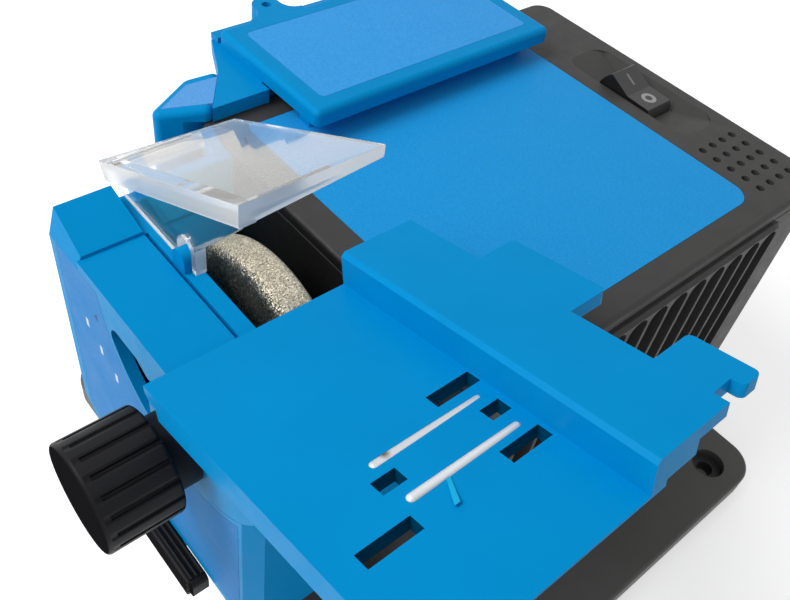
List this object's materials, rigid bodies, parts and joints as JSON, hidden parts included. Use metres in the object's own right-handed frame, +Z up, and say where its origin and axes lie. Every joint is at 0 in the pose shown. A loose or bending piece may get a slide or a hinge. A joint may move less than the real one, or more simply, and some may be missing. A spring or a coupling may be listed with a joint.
{
  "type": "tool sharpener",
  "caption": "Small bench tool sharpener: motor unit on a square base, grinding wheel in a blue head with a tilting table, clamp knob and clear visor, and a spare head parked behind.",
  "frame": {"origin": "in the middle of the four bench holes, on the underside of the base plate, 3 mm above the bench", "axes": "+X along the motor axis towards the switch end, +Y to the back, +Z up"},
  "size_m": [0.1812, 0.1565, 0.1335],
  "materials": {
    "black_plastic": "fine moulded texture",
    "switch_plastic": "smooth black",
    "blue_plastic": "satin moulded",
    "label_film": "printed film",
    "clear_plastic": "clear moulded",
    "black_rubber": "matt",
    "motor_moulding": "moulded",
    "die_cast": "as cast",
    "steel": "bright",
    "lamination": "stacked sheet",
    "copper": "enamelled wire",
    "carbon": "pressed carbon",
    "brass": "turned",
    "grit": "coated with coarse grit"
  },
  "bodies": {
    "machine": {"base_plate": "black_plastic", "motor_housing": "black_plastic", "top_cover": "black_plastic", "switch_body": "switch_plastic", "top_label": "label_film", "rubber_feet": "black_rubber", "cord_gland": "black_rubber", "motor_cradle": "motor_moulding", "brush_holders": "motor_moulding", "front_bearing_plate": "die_cast", "rear_bearing_plate": "die_cast", "base_screws": "steel", "plate_screws": "steel", "front_bearing": "steel", "rear_bearing": "steel", "field_core": "lamination", "field_coils": "copper", "carbon_brushes": "carbon"},
    "rotor": {"motor_shaft": "steel", "armature_core": "lamination", "armature_winding": "copper", "commutator": "copper", "cooling_fan": "motor_moulding", "wheel_flange": "die_cast", "grinding_wheel": "grit", "wheel_nut": "steel"},
    "switch_rocker": {"rocker": "switch_plastic"},
    "sharpening_head": {"head_frame": "blue_plastic", "side_cover": "blue_plastic", "side_screws": "steel", "scale_label": "label_film", "clamp_stud": "steel", "visor_pin": "steel"},
    "table": {"tilt_table": "blue_plastic", "wear_rods": "steel"},
    "knob": {"clamp_knob": "black_plastic", "knob_insert": "brass"},
    "shield": {"visor": "clear_plastic"},
    "latch": {"head_latch": "black_plastic"},
    "parked_head": {"knife_head": "blue_plastic", "knife_head_label": "label_film"}
  },
  "joints": [
    {"name": "wheel_spin", "type": "hinge", "parent": "machine", "child": "rotor", "pos_m": [0, 0, 0.0765], "axis": [1, 0, 0], "continuous": true},
    {"name": "rocker_rock", "type": "hinge", "parent": "machine", "child": "switch_rocker", "pos_m": [0.0618, 0.00267, 0.0974], "axis": [-1, 0, 0], "range_deg": [0, 28]},
    {"name": "head_slide", "type": "slide", "parent": "machine", "child": "sharpening_head", "axis": [-1, 0, 0], "range_m": [0, 0.06]},
    {"name": "table_tilt", "type": "hinge", "parent": "sharpening_head", "child": "table", "pos_m": [-0.0638, -0.01272, 0.10032], "axis": [1, 0, 0], "range_deg": [-10, 10]},
    {"name": "knob_turn", "type": "hinge", "parent": "sharpening_head", "child": "knob", "pos_m": [-0.094, -0.01272, 0.08202], "axis": [-1, 0, 0], "range_deg": [0, 360]},
    {"name": "visor_flip", "type": "hinge", "parent": "sharpening_head", "child": "shield", "pos_m": [-0.0535, 0.04, 0.1011], "axis": [-1, 0, 0], "range_deg": [0, 80]},
    {"name": "latch_press", "type": "slide", "parent": "sharpening_head", "child": "latch", "axis": [0, 0, -1], "range_m": [0, 0.003], "stiffness_N_per_m": 400, "springref_m": -0.001},
    {"name": "knife_head_lift", "type": "slide", "parent": "machine", "child": "parked_head", "axis": [0, 0, 1], "range_m": [0, 0.04]}
  ]
}
